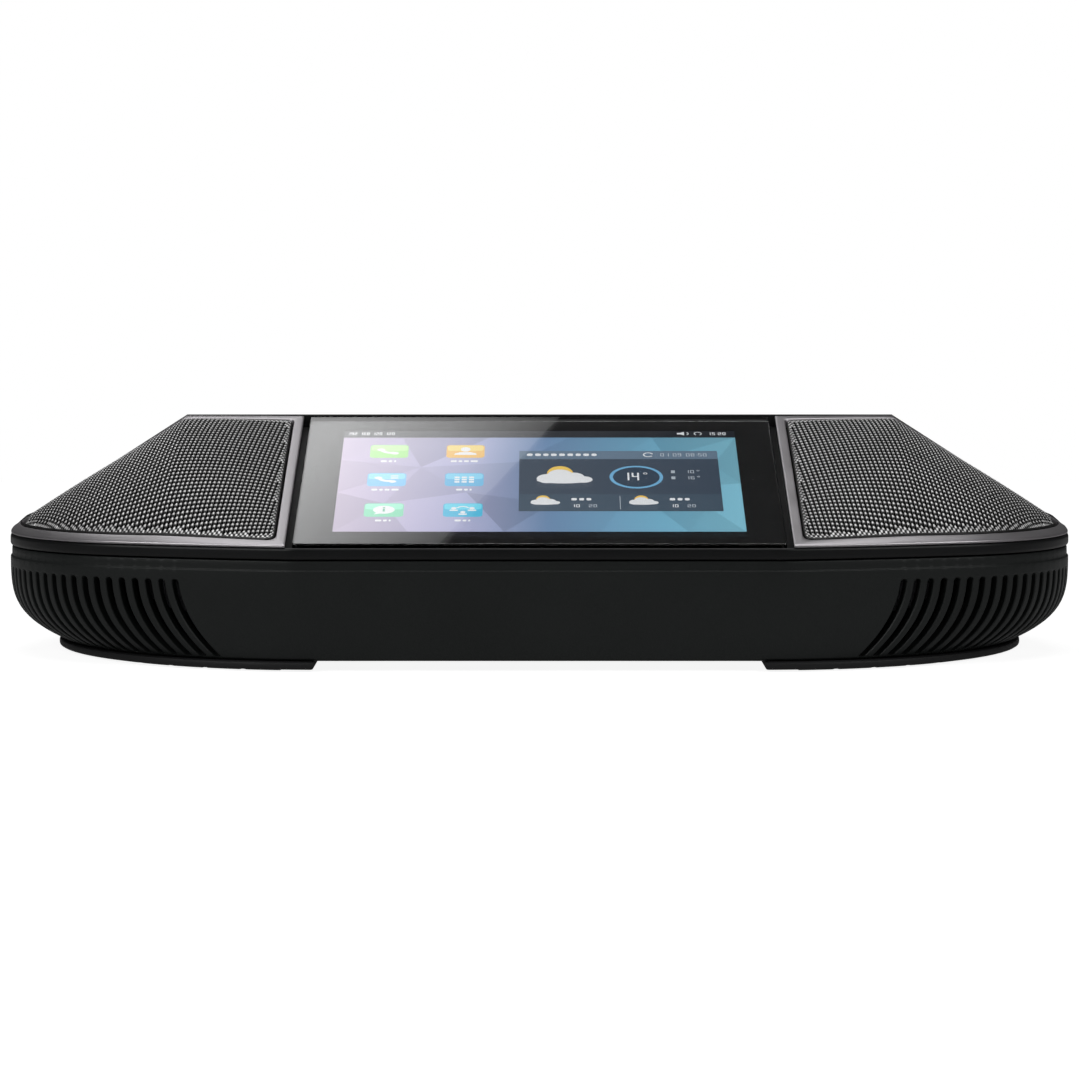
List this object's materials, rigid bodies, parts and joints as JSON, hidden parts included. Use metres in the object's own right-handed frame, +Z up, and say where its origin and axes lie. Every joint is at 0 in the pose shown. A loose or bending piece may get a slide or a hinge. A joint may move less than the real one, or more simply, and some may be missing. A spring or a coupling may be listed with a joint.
{
  "type": "conference ip phone",
  "caption": "Wide low conference speakerphone: tilted touch display between two domed perforated speaker wings, slotted corners, recessed rear connector bay.",
  "frame": {"origin": "on the desk, under the middle of the body", "axes": "+X to the right as seen from the front, +Y to the back, +Z up"},
  "size_m": [0.2542, 0.1248, 0.0556],
  "materials": {
    "housing_upper": "satin black, fine texture",
    "housing_lower": "satin charcoal, fine texture",
    "cover_plastic": "matt charcoal",
    "front_glass": "gloss, black printed on the back",
    "display_panel": "gloss",
    "pressed_steel": "pressed sheet",
    "ribbon_film": "satin film",
    "trim_metal": "satin silver",
    "grille_steel": "perforated, satin black",
    "speaker_cloth": "open weave",
    "inner_plastic": "matt black",
    "basket_steel": "satin black",
    "magnet_iron": "ground ferrite and plated steel",
    "cone_paper": "pressed paper",
    "soft_rubber": "satin rubber",
    "spider_cloth": "resin treated weave",
    "circuit_board": "solder resist over glass fibre",
    "chip_plastic": "moulded epoxy",
    "plated_steel": "tin plated",
    "heat_aluminium": "extruded",
    "connector_plastic": "natural nylon",
    "jack_plastic": "moulded black",
    "button_plastic": "grey moulding",
    "wire_plastic": "red sleeve",
    "lead_plastic": "grey sleeve",
    "foot_rubber": "moulded rubber",
    "screw_steel": "zinc plated"
  },
  "bodies": {
    "housing": {"upper_housing": "housing_upper", "lower_housing": "housing_lower", "bottom_cover": "cover_plastic", "cover_glass": "front_glass", "lcd_module": "display_panel", "display_bracket": "pressed_steel", "display_ribbon": "ribbon_film", "left_trim": "trim_metal", "right_trim": "trim_metal", "left_grille": "grille_steel", "right_grille": "grille_steel", "left_cloth": "speaker_cloth", "right_cloth": "speaker_cloth", "left_baffle": "inner_plastic", "right_baffle": "inner_plastic", "left_basket": "basket_steel", "right_basket": "basket_steel", "left_magnet": "magnet_iron", "right_magnet": "magnet_iron", "left_surround": "soft_rubber", "right_surround": "soft_rubber", "left_spider": "spider_cloth", "right_spider": "spider_cloth", "main_board": "circuit_board", "processor": "chip_plastic", "memory_chips": "chip_plastic", "shield_can": "plated_steel", "heat_spreader": "heat_aluminium", "board_connectors": "connector_plastic", "port_panel": "inner_plastic", "lan_port": "plated_steel", "pc_port": "plated_steel", "power_jack": "jack_plastic", "audio_jack": "jack_plastic", "usb_port": "plated_steel", "reset_switch": "plated_steel", "left_wire_pair": "wire_plastic", "right_wire_pair": "wire_plastic", "antennas": "circuit_board", "antenna_leads": "lead_plastic", "microphones": "plated_steel", "microphone_boots": "soft_rubber", "left_foot": "foot_rubber", "right_foot": "foot_rubber", "rear_foot": "foot_rubber", "housing_screws": "screw_steel", "board_screws": "screw_steel", "speaker_screws": "screw_steel", "bracket_screws": "screw_steel"},
    "left_cone_body": {"left_cone": "cone_paper"},
    "right_cone_body": {"right_cone": "cone_paper"},
    "reset_body": {"reset_button": "button_plastic"}
  },
  "joints": [
    {"name": "left_cone_travel", "type": "slide", "parent": "housing", "child": "left_cone_body", "axis": [0, -0.3702, 0.9289], "range_m": [-0.0015, 0.0015], "stiffness_N_per_m": 1800, "deforming": ["left_surround", "left_spider"]},
    {"name": "right_cone_travel", "type": "slide", "parent": "housing", "child": "right_cone_body", "axis": [0, -0.3702, 0.9289], "range_m": [-0.0015, 0.0015], "stiffness_N_per_m": 1800, "deforming": ["right_surround", "right_spider"]},
    {"name": "reset_press", "type": "slide", "parent": "housing", "child": "reset_body", "axis": [0, -1, 0], "range_m": [0, 0.0005], "stiffness_N_per_m": 3000}
  ]
}
